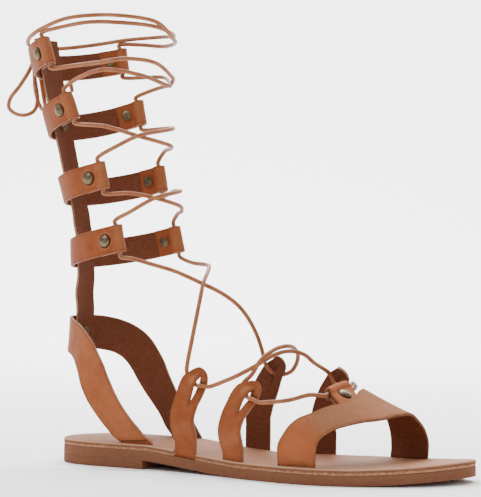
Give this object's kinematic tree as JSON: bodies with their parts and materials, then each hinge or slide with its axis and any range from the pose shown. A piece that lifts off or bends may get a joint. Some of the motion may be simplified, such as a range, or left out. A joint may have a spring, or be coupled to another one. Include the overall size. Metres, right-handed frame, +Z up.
{
  "type": "gladiator sandal",
  "caption": "Flat leather gladiator sandal with riveted ankle cuffs on a back strap, slit side straps and a crossed lace tied in a bow behind the leg.",
  "frame": {"origin": "on the floor under the middle of the heel seat", "axes": "+X to the toe, +Y to the inner side of the foot, +Z up"},
  "size_m": [0.2994, 0.0912, 0.2647],
  "materials": {
    "sole": "matte",
    "insole": "smooth",
    "straps": "smooth, slightly waxy",
    "toe_strap": "smooth, slightly waxy",
    "lace": "smooth",
    "rivets": "antique"
  },
  "bodies": {
    "root": {"outsole": "sole", "heel_lift": "sole", "insole": "insole", "heel_strap": "straps", "spine_strap": "straps", "ankle_cuff_1": "straps", "ankle_cuff_2": "straps", "ankle_cuff_3": "straps", "ankle_cuff_4": "straps", "side_strap_outer_rear": "straps", "side_strap_outer_front": "straps", "side_strap_inner_rear": "straps", "side_strap_inner_front": "straps", "toe_strap": "toe_strap", "rivet_heel_strap": "rivets", "rivet_toe_tab": "rivets", "rivet_ankle_cuff_1_outer": "rivets", "rivet_ankle_cuff_1_inner": "rivets", "rivet_ankle_cuff_1_back": "rivets", "rivet_ankle_cuff_2_outer": "rivets", "rivet_ankle_cuff_2_inner": "rivets", "rivet_ankle_cuff_2_back": "rivets", "rivet_ankle_cuff_3_outer": "rivets", "rivet_ankle_cuff_3_inner": "rivets", "rivet_ankle_cuff_3_back": "rivets", "rivet_ankle_cuff_4_outer": "rivets", "rivet_ankle_cuff_4_inner": "rivets", "rivet_ankle_cuff_4_back": "rivets", "lace_cross_1": "lace", "lace_cross_2": "lace", "lace_cross_3": "lace", "lace_cross_4": "lace", "lace_cross_5": "lace", "lace_toe_run": "lace", "lace_top_wrap": "lace", "bow_knot": "lace", "bow_loop_outer": "lace", "bow_loop_inner": "lace", "lace_end_outer": "lace", "lace_end_inner": "lace"}
  },
  "joints": []
}
